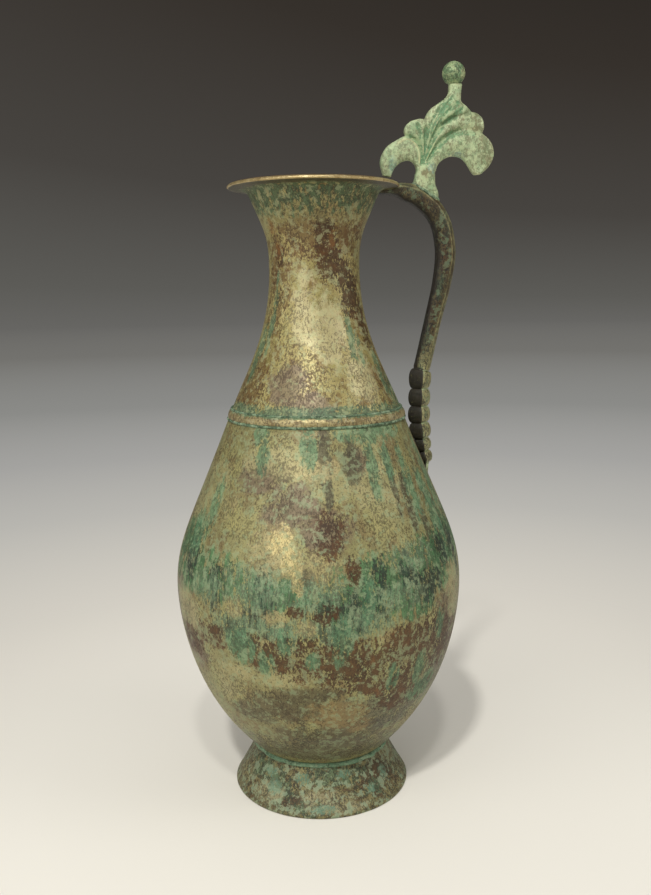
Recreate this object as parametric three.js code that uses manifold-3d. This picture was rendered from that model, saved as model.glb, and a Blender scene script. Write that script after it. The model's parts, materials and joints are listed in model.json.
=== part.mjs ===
// Cast bronze ewer: a pear-shaped body on a splayed hollow foot, a waisted neck with a flat lip, a ring over
// the joint of body and neck, a faceted handle that ends in graded beads, and a five-lobed palmette
// thumb-piece under a ball. Millimetres, +Z up. Handle and palmette lie in the XZ plane, on the +X side.
import * as THREE from 'three';
import * as BufferGeometryUtils from 'three/addons/utils/BufferGeometryUtils.js';
import Module from 'manifold-3d';

const wasm = await Module();
wasm.setup();

// Vessel: radii of the outer surface, heights above the table, drops below the rim
const rimRadius = 51.8;
const rimHeight = 380;
const lipThickness = 2.4;
const lipRounding = 0.9;
const flareRadius = 38.6;
const flareDrop = 7.6;
const throatRadius = 27.5;
const throatDrop = 48;
const shoulderRadius = 53.5;
const shoulderHeight = 243;
const bellyRadius = 89.8;
const bellyHeight = 136;
const seatRadius = 42.5;
const seatHeight = 28.7;
const bowlHeight = 17;
const wall = 2.2;

// Room between two pieces that touch
const clearance = 0.3;

// Lap joint of body and neck, behind the shoulder ring
const spigotLength = 9;
const spigotWall = 1.6;

// Foot, and the solder line in the corner above it
const footRadius = 56.5;
const footEdge = 1.4;
const footWall = 2.4;
const footSolderRadius = 1.6;

// Shoulder ring, and the solder line above and below it
const ringBulge = 1.5;
const ringHalfHeight = 2.9;
const ringSolderRadius = 0.9;

// Handle: an eight-sided bar. Width lies in the handle's plane, depth across it. Its middle line starts a
// little below the rim.
const handleReach = 82.6;
const handleDrop = 3.1;
const handleWidth = 12;
const handleWaistWidth = 9.8;
const handleDepth = 11.4;
const handleWaistDepth = 9.6;
const handleChamfer = 3;
const tongueWidth = 3.8;
const tongueDepth = 13;

// Graded beads at the lower end, and the tail below them
const beadTopHeight = 267;
const beadedLength = 59.5;
const beadWidth = 14.6;
const beadDepth = 13.6;
const beadGroove = 0.95;
const tailLength = 8;
const tailWidth = 3.4;
const tailDepth = 6.5;

// Palmette thumb-piece: its root lies above the middle of the handle
const palmetteRise = 9.5;
const stemDepth = 8.4;
const stemChamfer = 2;
const palmetteWidth = 71.2;
const palmetteHeight = 58.5;
const palmetteCrown = 7.6;
const palmetteEdge = 2.8;
const lobeOverlap = 0.3;
const stemSolderWidth = 1;
const stemSolderHeight = 1.6;

// Ball, let a little way into the palmette's tip
const ballRadius = 7.05;
const ballSeatDepth = 0.45;

// Facets
const turns = 36;
const stretchSteps = 6;
const barSteps = 2;
const beadSteps = 4;
const lobeSteps = 2;
const roundSteps = 8;
const ballTurns = 20;

// Points nearer than this are one
const weldDistance = 1e-4;

const degrees = Math.PI / 180;
const at = (x, y) => new THREE.Vector2(x, y);

// A closed geometry as a solid, and back
function toSolid(geometry) {
  const bare = new THREE.BufferGeometry();
  bare.setAttribute('position', geometry.getAttribute('position').clone());
  if (geometry.index) bare.setIndex(geometry.index.clone());
  const merged = BufferGeometryUtils.mergeVertices(bare, weldDistance);
  const vertProperties = new Float32Array(merged.attributes.position.array);
  const triVerts = new Uint32Array(merged.index.array);
  return new wasm.Manifold(new wasm.Mesh({ numProp: 3, vertProperties, triVerts }));
}

function toGeometry(solid) {
  const mesh = solid.getMesh();
  const geometry = new THREE.BufferGeometry();
  geometry.setAttribute('position', new THREE.BufferAttribute(new Float32Array(mesh.vertProperties), 3));
  geometry.setIndex(new THREE.BufferAttribute(new Uint32Array(mesh.triVerts), 1));
  geometry.computeVertexNormals();
  return geometry;
}

// A profile of radius and height turned about the vessel's axis. It runs up the outside and down the inside.
function turned(profile) {
  const geometry = new THREE.LatheGeometry(profile, turns);
  geometry.rotateX(Math.PI / 2);
  return toSolid(geometry);
}

// Unit vector up a wall that leans outward by so many degrees from upright
const upWall = (lean) => at(Math.sin(lean * degrees), Math.cos(lean * degrees));

// One stretch of outline between two stations, each with a radius, a height and the wall's lean. A station's
// shares are of the distance to its neighbours: the larger, the longer the wall keeps the station's lean.
function stretch(from, to) {
  const first = at(from.radius, from.height);
  const last = at(to.radius, to.height);
  const span = first.distanceTo(last);
  const leaving = upWall(from.lean).multiplyScalar(from.leaveShare * span).add(first);
  const arriving = upWall(to.lean).multiplyScalar(-to.arriveShare * span).add(last);
  return new THREE.CubicBezierCurve(first, leaving, arriving, last).getPoints(stretchSteps);
}

const joined = (...lists) => lists.flatMap((list, i) => (i ? list.slice(1) : list));

// The outline moved outward by a distance, which may depend on the share of the outline gone by
function beside(outline, distance) {
  const last = outline.length - 1;
  return outline.map((point, i) => {
    const run = outline[Math.min(i + 1, last)].clone().sub(outline[Math.max(i - 1, 0)]).normalize();
    const d = typeof distance === 'function' ? distance(i / last) : distance;
    const radius = point.x > 0 ? point.x + run.y * d : 0;
    return at(radius, point.y - run.x * d);
  });
}

// Stations of the vessel, from the bottom of the bowl to the lip's lower edge
const bowl = { radius: 0, height: bowlHeight, lean: 90, leaveShare: 0.4 };
const seat = { radius: seatRadius, height: seatHeight, lean: 47.3, arriveShare: 0.3, leaveShare: 0.516 };
const belly = { radius: bellyRadius, height: bellyHeight, lean: 0, arriveShare: 0.104, leaveShare: 0.26 };
const shoulder = {
  radius: shoulderRadius, height: shoulderHeight, lean: -21.6, arriveShare: 0.6, leaveShare: 0.338,
};
const throat = {
  radius: throatRadius, height: rimHeight - throatDrop, lean: 0, arriveShare: 0.443, leaveShare: 0.42,
};
const flare = {
  radius: flareRadius, height: rimHeight - flareDrop, lean: 24, arriveShare: 0.5, leaveShare: 0.25,
};
const lip = { radius: rimRadius, height: rimHeight - lipThickness, lean: 88, arriveShare: 0.78 };

const bodyOutline = joined(stretch(bowl, seat), stretch(seat, belly), stretch(belly, shoulder));
const neckOutline = joined(stretch(shoulder, throat), stretch(throat, flare), stretch(flare, lip));

const vesselOutline = joined(bodyOutline, neckOutline);

// The vessel's outer radius at a height
function radiusAt(height) {
  const i = vesselOutline.findIndex((point) => point.y > height);
  const below = vesselOutline[i - 1];
  const above = vesselOutline[i];
  return THREE.MathUtils.mapLinear(height, below.y, above.y, below.x, above.x);
}

// A point at the joint of body and neck: so far up the wall, and so far out from its surface
function atShoulder(up, out) {
  const along = upWall(shoulder.lean);
  return at(shoulder.radius + along.x * up + along.y * out, shoulder.height + along.y * up - along.x * out);
}

// All the space that the vessel takes, with a gap around it and open above the rim: what is seated on the
// vessel is cut by it
function vesselRoom(gap) {
  const outline = beside(vesselOutline, gap);
  const above = rimHeight + palmetteHeight;
  return turned([...outline, at(rimRadius + gap, above), at(0, above)]);
}

// Body: closed below, open at the shoulder
function makeBody() {
  return turned([...bodyOutline, ...beside(bodyOutline, -wall).reverse()]);
}

// Neck: its wall thickens to the flat lip, and a spigot reaches down inside the body's mouth
function makeNeck() {
  const lipStart = 1 - stretchSteps / (neckOutline.length - 1);
  const thickness = (share) => {
    const thickening = Math.max(0, share - lipStart) / (1 - lipStart);
    return THREE.MathUtils.lerp(wall, lipThickness, thickening);
  };
  const inside = beside(neckOutline, (share) => -thickness(share)).slice(1, -1).reverse();
  const spigotOut = -(wall + clearance);
  const spigotIn = spigotOut - spigotWall;
  return turned([
    atShoulder(clearance, 0),
    ...neckOutline.slice(1, -1),
    at(rimRadius - lipRounding / 2, rimHeight - lipThickness),
    at(rimRadius, rimHeight - lipThickness + lipRounding),
    at(rimRadius, rimHeight - lipRounding),
    at(rimRadius - lipRounding, rimHeight),
    ...inside,
    atShoulder(spigotLength / 2, -wall),
    atShoulder(0, spigotIn),
    atShoulder(-spigotLength, spigotIn),
    atShoulder(-spigotLength, spigotOut),
    atShoulder(clearance, spigotOut),
    atShoulder(clearance, 0),
  ]);
}

// Foot: a hollow cone with a slightly hollow side, standing on its edge
const footTopRadius = seatRadius - clearance;
const footLine = stretch(
  { radius: footRadius, height: footEdge, lean: -31, leaveShare: 0.3 },
  { radius: footTopRadius, height: seatHeight, lean: -22, arriveShare: 0.3 });

// All the space inside the foot's outer surface, with a gap around it
function footRoom(gap) {
  const outline = beside(footLine, gap);
  const top = outline[outline.length - 1];
  return turned([at(0, -gap), at(outline[0].x, -gap), ...outline, at(0, top.y)]);
}

function makeFoot() {
  const inside = beside(footLine, -footWall);
  const innerEdge = at(inside[0].x - footEdge / 2, 0);
  const outerEdge = at(footRadius - footEdge / 4, 0);
  const above = seatHeight + footWall;
  const collar = [at(footTopRadius, above), at(inside[stretchSteps].x, above)];
  const shell = turned([outerEdge, ...footLine, ...collar, ...inside.reverse(), innerEdge, outerEdge]);
  return shell.subtract(vesselRoom(clearance));
}

// A round bead of solder or a moulding that follows the vessel's turn, as a closed outline about a centre
function roundOutline(place) {
  const corners = Array.from({ length: roundSteps }, (_, i) => (2 * Math.PI * i) / roundSteps);
  const outline = corners.map((angle) => place(Math.cos(angle), Math.sin(angle)));
  return [...outline, outline[0]];
}

function makeFootSolder() {
  const middle = at(footTopRadius + footSolderRadius / 2, seatHeight - footSolderRadius / 4);
  const bead = turned(roundOutline((x, y) => at(x, y).multiplyScalar(footSolderRadius).add(middle)));
  return bead.subtract(vesselRoom(clearance)).subtract(footRoom(clearance));
}

// Shoulder ring: half an oval standing out from the wall, over the joint
function makeRing(gap) {
  return turned(roundOutline((x, y) => atShoulder((ringHalfHeight + gap) * y, (ringBulge + gap) * x)));
}

function makeRingSolder(side) {
  const middle = side * (ringHalfHeight + clearance);
  const place = (x, y) => atShoulder(middle + ringSolderRadius * y, ringSolderRadius * x);
  const bead = turned(roundOutline(place));
  return bead.subtract(vesselRoom(clearance)).subtract(makeRing(clearance));
}

// Rings of points joined into a closed solid. Each runs counter-clockwise as seen by someone whom the sweep
// comes towards.
function loft(rings) {
  const count = rings[0].length;
  const middle = (ring) => ring.reduce((sum, p) => sum.add(p), new THREE.Vector3()).divideScalar(count);
  const points = [...rings.flat(), middle(rings[0]), middle(rings[rings.length - 1])];
  const faces = [];
  for (let r = 0; r < rings.length - 1; r += 1) {
    for (let i = 0; i < count; i += 1) {
      const a = r * count + i;
      const b = r * count + ((i + 1) % count);
      faces.push(a, b, b + count, a, b + count, a + count);
    }
  }
  const lastRing = (rings.length - 1) * count;
  for (let i = 0; i < count; i += 1) {
    const next = (i + 1) % count;
    faces.push(points.length - 2, next, i, points.length - 1, lastRing + i, lastRing + next);
  }
  const geometry = new THREE.BufferGeometry().setFromPoints(points);
  geometry.setIndex(faces);
  return toSolid(geometry);
}

// Sections as pairs of width and depth places, counter-clockwise from width towards depth
function chamferedBar(width, depth, chamfer) {
  const w = width / 2;
  const d = depth / 2;
  return [
    [w, chamfer - d], [w, d - chamfer], [w - chamfer, d], [chamfer - w, d],
    [-w, d - chamfer], [-w, chamfer - d], [chamfer - w, -d], [w - chamfer, -d],
  ];
}

// Where a leaf's section bends between its crown and its edge
const bendAcrossShare = 0.56;
const bendUpShare = 0.82;

function leafSection(width, crown) {
  const w = width / 2;
  const d = crown / 2;
  const edge = Math.min(palmetteEdge, crown * bendUpShare) / 2;
  const side = w * bendAcrossShare;
  const rise = d * bendUpShare;
  return [
    [w, -edge], [w, edge], [side, rise], [0, d], [-side, rise],
    [-w, edge], [-w, -edge], [-side, -rise], [0, -d], [side, -rise],
  ];
}

// A section set across a line in the XZ plane
function placed(section, point, tangent) {
  return section.map(([a, b]) => new THREE.Vector3(point.x + a * tangent.z, b, point.z - a * tangent.x));
}

// The handle's middle line. The bar runs from the tongue under the lip, over the bend and down to the beads:
// shares of the reach beyond the rim, and of the drop from the top of the line to the first bead.
const barLineShares = [
  [-0.416, 0.006], [-0.188, 0.005], [0.032, 0], [0.201, 0.012], [0.394, 0.03], [0.6, 0.07], [0.785, 0.123],
  [0.92, 0.198], [0.989, 0.296], [1, 0.363], [0.922, 0.518], [0.732, 0.737], [0.517, 0.99],
];
const handleTopHeight = rimHeight - handleDrop;
const barWidthShares = [0.68, 0.9, 0.97, 1, 1, 1, 1, 1];
const barWidths = [
  tongueWidth, tongueWidth, ...barWidthShares.map((share) => share * handleWidth),
  (handleWidth + handleWaistWidth) / 2, handleWaistWidth, handleWaistWidth,
];
const barDepths = [
  tongueDepth, tongueDepth, ...barWidthShares.map(() => handleDepth),
  (handleDepth + handleWaistDepth) / 2, handleWaistDepth, handleWaistDepth,
];

// Below the bar the line goes on through the grooves between the beads, and ends in the tail on the body: its
// distance from the wall, as shares of the handle's reach beyond the shoulder
const beadStandoffShares = [0.835, 0.63, 0.454, 0.314, 0.209, 0.136, 0.074];
const beadHeightShares = [0.197, 0.188, 0.177, 0.17, 0.138, 0.13];
const beadSizeShares = [1, 0.99, 1, 0.99, 0.86, 0.76];
const beadChamferShare = 0.4;
const tailStandoffShare = -0.038;
const tailStartShare = 0.15;

function handleLine() {
  const bar = barLineShares.map(([reachShare, dropShare]) => [
    THREE.MathUtils.lerp(rimRadius, handleReach, reachShare),
    THREE.MathUtils.lerp(handleTopHeight, beadTopHeight, dropShare),
  ]);
  const offWall = (height, share) => [radiusAt(height) + share * (handleReach - shoulderRadius), height];
  let height = beadTopHeight;
  const grooves = beadStandoffShares.map((standoffShare, i) => {
    if (i) height -= beadHeightShares[i - 1] * beadedLength;
    return offWall(height, standoffShare);
  });
  const stations = [...bar, ...grooves, offWall(height - tailLength, tailStandoffShare)];
  return new THREE.CatmullRomCurve3(stations.map(([x, z]) => new THREE.Vector3(x, 0, z)));
}

// The handle's solid, or with a gap the space that it takes
function handleSolid(gap) {
  const line = handleLine();
  const spans = line.points.length - 1;
  const rings = [];
  const addRing = (span, width, depth, chamfer) => {
    const section = chamferedBar(width + 2 * gap, depth + 2 * gap, chamfer);
    rings.push(placed(section, line.getPoint(span / spans), line.getTangent(span / spans)));
  };
  const sized = (list, span) => {
    const i = Math.min(Math.floor(span), list.length - 2);
    return THREE.MathUtils.lerp(list[i], list[i + 1], span - i);
  };
  const barSpans = barLineShares.length - 1;
  for (let i = 0; i <= barSpans * barSteps; i += 1) {
    const span = i / barSteps;
    const width = sized(barWidths, span);
    addRing(span, width, sized(barDepths, span), Math.min(handleChamfer, width / 4));
  }

  // Each bead swells from a groove to its full size and back, along a half turn
  const addBeadRing = (bead, turn) => {
    const share = beadSizeShares[bead];
    const groove = 2 * beadGroove * (1 - Math.sin(turn));
    const along = (1 - Math.cos(turn)) / 2;
    const width = beadWidth * share - groove;
    addRing(barSpans + 1 + bead + along, width, beadDepth * share - groove, width * beadChamferShare);
  };
  beadSizeShares.forEach((_, bead) => {
    for (let i = 0; i < beadSteps; i += 1) addBeadRing(bead, (Math.PI * i) / beadSteps);
  });
  addBeadRing(beadSizeShares.length - 1, Math.PI);
  addRing(spans - 1 + tailStartShare, tailWidth, tailDepth, tailWidth / 4);
  addRing(spans, tailWidth, tailDepth / 2, tailWidth / 4);
  return loft(rings);
}

function makeHandle() {
  return handleSolid(0).subtract(vesselRoom(clearance));
}

// Palmette: edges that run from its root outward, as shares of its width and height. Two neighbouring lobes
// share the groove between them.
const innerGrooveShares = [[-0.029, 0.215], [-0.035, 0.352], [-0.08, 0.441], [-0.15, 0.482]];
const leftGrooveShares = [[-0.02, 0.215], [-0.004, 0.342], [0.004, 0.451], [0.007, 0.557]];
const rightGrooveShares = [[-0.01, 0.215], [0.027, 0.325], [0.066, 0.465], [0.139, 0.593], [0.265, 0.685]];
const outerGrooveShares = [[0.004, 0.212], [0.055, 0.315], [0.117, 0.415], [0.201, 0.497], [0.308, 0.556]];
const innerArchShares = [
  [-0.063, 0.123], [-0.074, 0.198], [-0.117, 0.25], [-0.184, 0.244],
  [-0.24, 0.203], [-0.274, 0.152], [-0.292, 0.109], [-0.302, 0.075],
];
const outerArchShares = [
  [0.093, 0.137], [0.114, 0.207], [0.153, 0.255], [0.216, 0.294], [0.274, 0.301], [0.324, 0.287],
  [0.367, 0.25], [0.397, 0.203], [0.42, 0.159], [0.44, 0.126], [0.462, 0.106],
];
const lobeShares = {
  innerScroll: {
    leftShares: innerArchShares,
    rightShares: [...innerGrooveShares, [-0.254, 0.431], [-0.336, 0.356], [-0.381, 0.222], [-0.355, 0.089]],
    rootShare: 0.7,
    tipShare: 0.5,
  },
  innerLobe: {
    leftShares: [...innerGrooveShares, [-0.171, 0.537], [-0.153, 0.598], [-0.114, 0.639]],
    rightShares: [...leftGrooveShares, [0.007, 0.626], [-0.013, 0.653], [-0.052, 0.66]],
    rootShare: 0.7,
    tipShare: 0.5,
  },
  middleLobe: {
    leftShares: [
      ...leftGrooveShares,
      [0.013, 0.667], [0.059, 0.757], [0.131, 0.819], [0.191, 0.872], [0.216, 0.923], [0.213, 1],
    ],
    rightShares: [
      ...rightGrooveShares,
      [0.403, 0.733], [0.367, 0.791], [0.319, 0.841], [0.319, 0.899], [0.337, 1],
    ],
    rootShare: 0.75,
    tipShare: 1.05,
  },
  outerLobe: {
    leftShares: [...rightGrooveShares, [0.403, 0.733], [0.476, 0.711], [0.518, 0.663]],
    rightShares: [...outerGrooveShares, [0.414, 0.566], [0.504, 0.53], [0.529, 0.591]],
    rootShare: 0.7,
    tipShare: 0.5,
  },
  outerScroll: {
    leftShares: [
      ...outerGrooveShares,
      [0.414, 0.566], [0.513, 0.516], [0.591, 0.431], [0.619, 0.311], [0.572, 0.191], [0.501, 0.113],
    ],
    rightShares: outerArchShares,
    rootShare: 0.75,
    tipShare: 0.6,
  },
};

// The stem's two edges, from the middle of the handle up into the root of the lobes, and where along the
// handle's line the edges and the palmette's root stand
const stemLeftShares = [[-0.097, -0.021], [-0.086, 0.051], [-0.076, 0.103], [-0.06, 0.161], [-0.035, 0.232]];
const stemRightShares = [[0.125, -0.096], [0.096, 0.01], [0.093, 0.103], [0.088, 0.161], [0.035, 0.232]];
const stemLeftStartShare = 0.167;
const palmetteRootShare = 0.237;
const stemRightStartShare = 0.295;

// A point of the palmette's plane
function onPalmette([acrossShare, upShare]) {
  const root = handleLine().getPoint(palmetteRootShare);
  const up = palmetteRise + upShare * palmetteHeight;
  return root.add(new THREE.Vector3(acrossShare * palmetteWidth, 0, up));
}

// Sections swept between two edges: each is as broad as the edges are apart
function between(leftEdge, rightEdge, section) {
  const left = new THREE.CatmullRomCurve3(leftEdge);
  const right = new THREE.CatmullRomCurve3(rightEdge);
  const count = (leftEdge.length - 1) * lobeSteps;
  return loft(Array.from({ length: count + 1 }, (_, i) => {
    const from = left.getPoint(i / count);
    const across = right.getPoint(i / count).sub(from);
    const middle = from.addScaledVector(across, 0.5);
    const ahead = new THREE.Vector3(-across.z, 0, across.x).normalize();
    return placed(section(across.length(), i / count), middle, ahead);
  }));
}

// A lobe's crown follows a parabola over its length: full at the middle, a share of that at root and tip
function makeLobe({ leftShares, rightShares, rootShare, tipShare }) {
  const section = (width, along) => {
    const swell = 4 * along * (1 - along) * (1 - (rootShare + tipShare) / 2);
    const crownShare = THREE.MathUtils.lerp(rootShare, tipShare, along) + swell;
    return leafSection(width + 2 * lobeOverlap, crownShare * palmetteCrown);
  };
  return between(leftShares.map(onPalmette), rightShares.map(onPalmette), section);
}

// The stem, or with a gap the space that it takes
function stemSolid(gap) {
  const section = (width) => chamferedBar(width + 2 * gap, stemDepth + 2 * gap, stemChamfer);
  const edge = (startShare, shares) => [handleLine().getPoint(startShare), ...shares.map(onPalmette)];
  const left = edge(stemLeftStartShare, stemLeftShares);
  const right = edge(stemRightStartShare, stemRightShares);
  return between(left, right, section);
}

const ballReachShare = 0.258;
const ballSeat = onPalmette([ballReachShare, 1]);
const ballPlace = [ballSeat.x, 0, ballSeat.z + clearance + ballRadius - ballSeatDepth];

function ballSolid(radius) {
  const ball = new THREE.SphereGeometry(radius, ballTurns, ballTurns / 2);
  ball.rotateX(Math.PI / 2);
  return toSolid(ball);
}

function makeThumbPiece() {
  const lobes = Object.values(lobeShares).map(makeLobe);
  const whole = lobes.reduce((sum, lobe) => sum.add(lobe), stemSolid(0));
  const ballRoom = ballSolid(ballRadius + clearance).translate(ballPlace);
  return whole.subtract(handleSolid(clearance)).subtract(ballRoom);
}

// Solder at the foot of the stem: a low fillet that follows the handle's top
function makeStemSolder() {
  const aroundStem = stemSolid(clearance + stemSolderWidth);
  const aboveHandle = handleSolid(clearance + stemSolderHeight);
  return aroundStem.intersect(aboveHandle).subtract(stemSolid(clearance)).subtract(handleSolid(clearance));
}

// Finishes
function finish(color, roughness, metalness) {
  return new THREE.MeshStandardMaterial({ color, roughness, metalness });
}

const oliveBronze = finish('#8d8560', 0.5, 0.75);
const neckBronze = finish('#8a7c55', 0.48, 0.75);
const footBronze = finish('#75704f', 0.55, 0.7);
const wornBronze = finish('#b9ae7e', 0.38, 0.85);
const darkBronze = finish('#5a5238', 0.5, 0.75);
const greenBronze = finish('#8a9d74', 0.62, 0.55);
const ballBronze = finish('#7c9068', 0.58, 0.6);
const verdigris = finish('#6f9b7c', 0.8, 0.2);

function piece(name, solid, material) {
  const mesh = new THREE.Mesh(toGeometry(solid), material);
  mesh.name = name;
  return mesh;
}

const vessel = new THREE.Group();
vessel.add(
  piece('foot', makeFoot(), footBronze),
  piece('foot_solder', makeFootSolder(), verdigris),
  piece('body', makeBody(), oliveBronze),
  piece('shoulder_ring', makeRing(0).subtract(vesselRoom(clearance)), wornBronze),
  piece('ring_solder_upper', makeRingSolder(1), verdigris),
  piece('ring_solder_lower', makeRingSolder(-1), verdigris),
  piece('neck', makeNeck(), neckBronze));

const grip = new THREE.Group();
const ball = piece('ball_finial', ballSolid(ballRadius), ballBronze);
ball.position.set(...ballPlace);
grip.add(
  piece('handle', makeHandle(), darkBronze),
  piece('thumb_piece', makeThumbPiece(), greenBronze),
  piece('stem_solder', makeStemSolder(), verdigris),
  ball);

// The origin is on the table, under the middle of the whole ewer's box
const ewer = new THREE.Group();
ewer.add(vessel, grip);
ewer.position.x = -new THREE.Box3().setFromObject(ewer).getCenter(new THREE.Vector3()).x;

export default ewer;
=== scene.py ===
import json
from math import cos, pi, radians, sin, sqrt
from types import SimpleNamespace

import bmesh
import bpy
import numpy as np
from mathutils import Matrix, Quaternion, Vector, noise

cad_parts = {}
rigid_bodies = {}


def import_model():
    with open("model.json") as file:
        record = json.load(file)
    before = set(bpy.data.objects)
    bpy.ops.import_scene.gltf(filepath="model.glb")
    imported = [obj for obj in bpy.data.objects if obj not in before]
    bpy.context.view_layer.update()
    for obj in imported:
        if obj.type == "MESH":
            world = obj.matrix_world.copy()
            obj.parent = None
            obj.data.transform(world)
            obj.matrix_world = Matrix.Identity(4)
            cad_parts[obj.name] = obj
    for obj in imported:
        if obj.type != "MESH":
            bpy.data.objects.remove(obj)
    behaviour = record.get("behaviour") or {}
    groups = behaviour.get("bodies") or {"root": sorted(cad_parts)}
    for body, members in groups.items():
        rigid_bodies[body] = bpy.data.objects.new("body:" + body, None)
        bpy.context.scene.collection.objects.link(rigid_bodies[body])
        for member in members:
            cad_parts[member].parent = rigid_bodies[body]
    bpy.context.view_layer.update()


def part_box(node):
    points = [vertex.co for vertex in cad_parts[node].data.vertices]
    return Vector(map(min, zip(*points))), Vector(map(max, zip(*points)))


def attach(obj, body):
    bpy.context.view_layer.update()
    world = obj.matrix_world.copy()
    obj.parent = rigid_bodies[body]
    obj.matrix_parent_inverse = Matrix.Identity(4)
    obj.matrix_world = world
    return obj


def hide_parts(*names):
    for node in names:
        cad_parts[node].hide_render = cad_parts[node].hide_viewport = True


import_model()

# Body: a pear-shaped vessel of leaded bronze, cast thin and turned smooth on the outside. It is closed at
# the bowl and open at the shoulder, where the neck is let in. Lengths in this file are millimetres.
MM = 0.001
body_low, body_high = (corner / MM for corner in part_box("body"))
axis_x = (body_low.x + body_high.x) / 2
belly_radius = (body_high.x - body_low.x) / 2
bowl_height = body_low.z
shoulder_height = body_high.z
shoulder_radius = 53.5
shoulder_lean = -21.6
belly_height = 136
seat_radius = 42.5
seat_height = 28.7
seat_lean = 47.3
wall = 2.2
body_pull_shares = [(0.4, 0.3), (0.516, 0.104), (0.26, 0.6)]
outline_steps = 24
vessel_sides = 256
hand_waver = 0.35
steady_share = 0.125


def outline(stations, pull_shares):
    """A smooth outline through stations, each a radius, a height and the wall's lean from upright. The
    shares say how long the wall keeps its lean after one station and before the next, as parts of the
    distance."""
    t = np.linspace(0, 1, outline_steps + 1)[:, None]
    weights = (1 - t) ** 3, 3 * t * (1 - t) ** 2, 3 * t * t * (1 - t), t ** 3
    line = []
    for first, last, (leave, arrive) in zip(stations, stations[1:], pull_shares):
        start, end = np.array(first[:2]), np.array(last[:2])
        span = np.linalg.norm(end - start)
        up, last_up = (np.array((sin(radians(lean)), cos(radians(lean)))) for lean in (first[2], last[2]))
        handles = start, start + leave * span * up, end - arrive * span * last_up, end
        line = [*line[:-1], *sum(w * handle for w, handle in zip(weights, handles))]
    return np.array(line)


def beside(line, distance):
    """An outline moved outward, square to its run."""
    run = np.gradient(line, axis=0)
    run /= np.linalg.norm(run, axis=1)[:, None]
    moved = line + np.column_stack((run[:, 1], -run[:, 0])) * np.reshape(distance, (-1, 1))
    moved[line[:, 0] == 0, 0] = 0
    return moved


scene = bpy.context.scene
shown = scene.collection.objects


def cast(name, points, faces):
    """A closed mesh from points in millimetres, with its faces out."""
    mesh = bpy.data.meshes.new(name)
    mesh.from_pydata((np.array(points) * MM).tolist(), [], faces)
    tidy = bmesh.new()
    tidy.from_mesh(mesh)
    bmesh.ops.recalc_face_normals(tidy, faces=tidy.faces)
    tidy.to_mesh(mesh)
    tidy.free()
    mesh.shade_smooth()
    made = bpy.data.objects.new(name, mesh)
    shown.link(made)
    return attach(made, "root")


def joined(name, rings, closed=False):
    """Rings of points, each joined to the next, and the last to the first where it is closed. A ring may be
    one point."""
    points, numbered, faces = [], [], []
    for ring in rings:
        numbered.append(range(len(points), len(points) + len(ring)))
        points += ring
    for lower, upper in zip(numbered, numbered[1:] + (numbered[:1] if closed else [])):
        count = max(len(lower), len(upper))
        for i in range(count):
            j = (i + 1) % count
            ends = (lower, i), (lower, j), (upper, j), (upper, i)
            face = list(dict.fromkeys(ring[k % len(ring)] for ring, k in ends))
            if len(face) > 2:
                faces.append(face)
    return cast(name, points, faces)


def full_turn(steps):
    """Angles all the way round in even steps."""
    return [2 * pi * i / steps for i in range(steps)]


def turned(name, profile, closed=True, waver=hand_waver, grain=60, inward=0.5):
    """A profile of radius and height turned about the vessel's axis. The waver is how far the turned
    surface strays in radius, over lumps of the given grain, and inward is the share of it that goes in.
    Close to the axis it is steady."""
    rings = []
    for radius, height in profile:
        steady = radius <= grain * steady_share
        ring = []
        for angle in full_turn(vessel_sides if radius > 0 else 1):
            lump = noise.noise(Vector((radius * cos(angle), radius * sin(angle), height)) / grain)
            strayed = radius if steady else radius + waver * (lump - inward)
            ring.append((axis_x + strayed * cos(angle), strayed * sin(angle), height))
        rings.append(ring)
    return joined(name, rings, closed)


shoulder = (shoulder_radius, shoulder_height, shoulder_lean)
body_line = outline(
    [(0, bowl_height, 90), (seat_radius, seat_height, seat_lean), (belly_radius, belly_height, 0), shoulder],
    body_pull_shares)
body_shell = np.concatenate((body_line, beside(body_line, -wall)[::-1]))
ewer_body = turned("ewer_body", body_shell, closed=False)


def linear(code):
    """An sRGB hex value as linear colour."""
    channels = [int(code[i:i + 2], 16) / 255 for i in (1, 3, 5)]
    return tuple(c / 12.92 if c <= 0.04045 else ((c + 0.055) / 1.055) ** 2.4 for c in channels) + (1,)


def add(tree, kind, inputs=None, output=0, stops=(), **settings):
    """Adds a shader node with its settings and links, and gives one of its outputs, or all for None."""
    node = tree.nodes.new("ShaderNode" + kind)
    for name, value in settings.items():
        setattr(node, name, value)
    for i, (place, code) in enumerate(stops):
        stop = node.color_ramp.elements[i] if i < 2 else node.color_ramp.elements.new(place)
        stop.position, stop.color = place, linear(code)
    for name, value in (inputs or {}).items():
        if isinstance(value, bpy.types.NodeSocket):
            tree.links.new(value, node.inputs[name])
        else:
            node.inputs[name].default_value = value
    return node.outputs if output is None else node.outputs[output]


def spread(codes):
    """Colours as ramp stops about the middle of a noise, in the reach that holds most of it."""
    codes = codes.split()
    return [(0.5 + noise_reach * (i / (len(codes) - 1) - 0.5), code) for i, code in enumerate(codes)]


def blank(owner):
    """The node tree of a new material or world, with nothing in it."""
    owner.use_nodes = True
    owner.node_tree.nodes.clear()
    return owner.node_tree


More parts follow.
